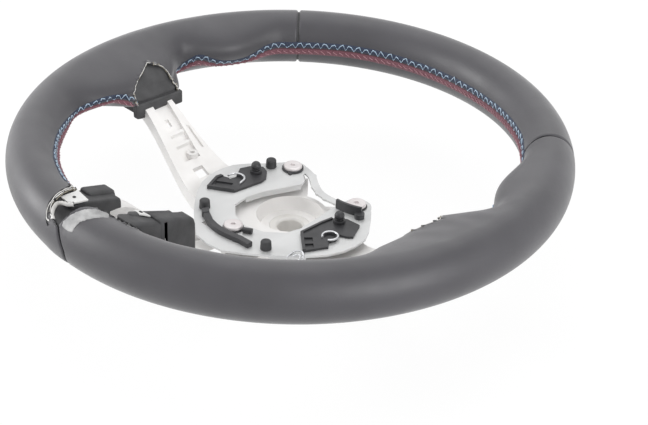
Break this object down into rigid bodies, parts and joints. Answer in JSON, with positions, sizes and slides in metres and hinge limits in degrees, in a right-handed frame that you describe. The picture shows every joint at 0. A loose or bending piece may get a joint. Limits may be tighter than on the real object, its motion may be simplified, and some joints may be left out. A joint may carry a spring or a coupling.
{
  "type": "car steering wheel",
  "caption": "Leather-covered car steering wheel without its airbag: cast armature, foam grip, side spokes, lower legs and a sprung horn plate on guide bolts.",
  "frame": {"origin": "centre of the column bore on the rear face of the hub", "axes": "+Z along the steering axis to the driver, +Y to twelve o'clock, +X to three o'clock"},
  "size_m": [0.3744, 0.3744, 0.0959],
  "materials": {
    "cast_magnesium": "cast, satin",
    "insert_steel": "machined",
    "grip_foam": "matte foam skin",
    "grip_leather": "fine grain, low sheen",
    "lining": "matte",
    "trim_plate": "matte",
    "plated_sheet": "zinc plated",
    "bolt_steel": "coated, satin",
    "black_plastic": "moulded, satin",
    "spring_steel": "drawn wire",
    "contact_brass": "plain",
    "bumper_rubber": "matte"
  },
  "bodies": {
    "wheel": {"armature": "cast_magnesium", "spline_insert": "insert_steel", "rim_foam": "grip_foam", "leather_top": "grip_leather", "leather_left": "grip_leather", "leather_right": "grip_leather", "lining_flap": "lining", "trim_plate_left": "trim_plate", "trim_plate_right": "trim_plate", "guide_bolt_left": "bolt_steel", "guide_bolt_right": "bolt_steel", "guide_bolt_bottom": "bolt_steel", "horn_spring_left": "spring_steel", "horn_spring_right": "spring_steel", "horn_spring_bottom": "spring_steel", "contact_left": "contact_brass", "contact_right": "contact_brass", "contact_bottom": "contact_brass"},
    "horn_plate_assembly": {"horn_plate": "plated_sheet", "guide_bush_left": "black_plastic", "guide_bush_right": "black_plastic", "guide_bush_bottom": "black_plastic", "airbag_bracket_left": "black_plastic", "airbag_bracket_right": "black_plastic", "lock_wire_left": "spring_steel", "lock_wire_right": "spring_steel", "bumper_left": "bumper_rubber", "bumper_bottom_left": "bumper_rubber", "bumper_bottom_right": "bumper_rubber", "centring_pin_left": "black_plastic", "centring_pin_right": "black_plastic", "lower_carrier": "black_plastic", "carrier_pin": "black_plastic", "side_clip": "black_plastic", "edge_clip": "spring_steel"}
  },
  "joints": [
    {"name": "horn_press", "type": "slide", "parent": "wheel", "child": "horn_plate_assembly", "axis": [0, 0, 1], "range_m": [-0.0025, 0], "stiffness_N_per_m": 8000, "springref_m": 0.001, "deforming": ["horn_spring_left", "horn_spring_right", "horn_spring_bottom"]}
  ]
}
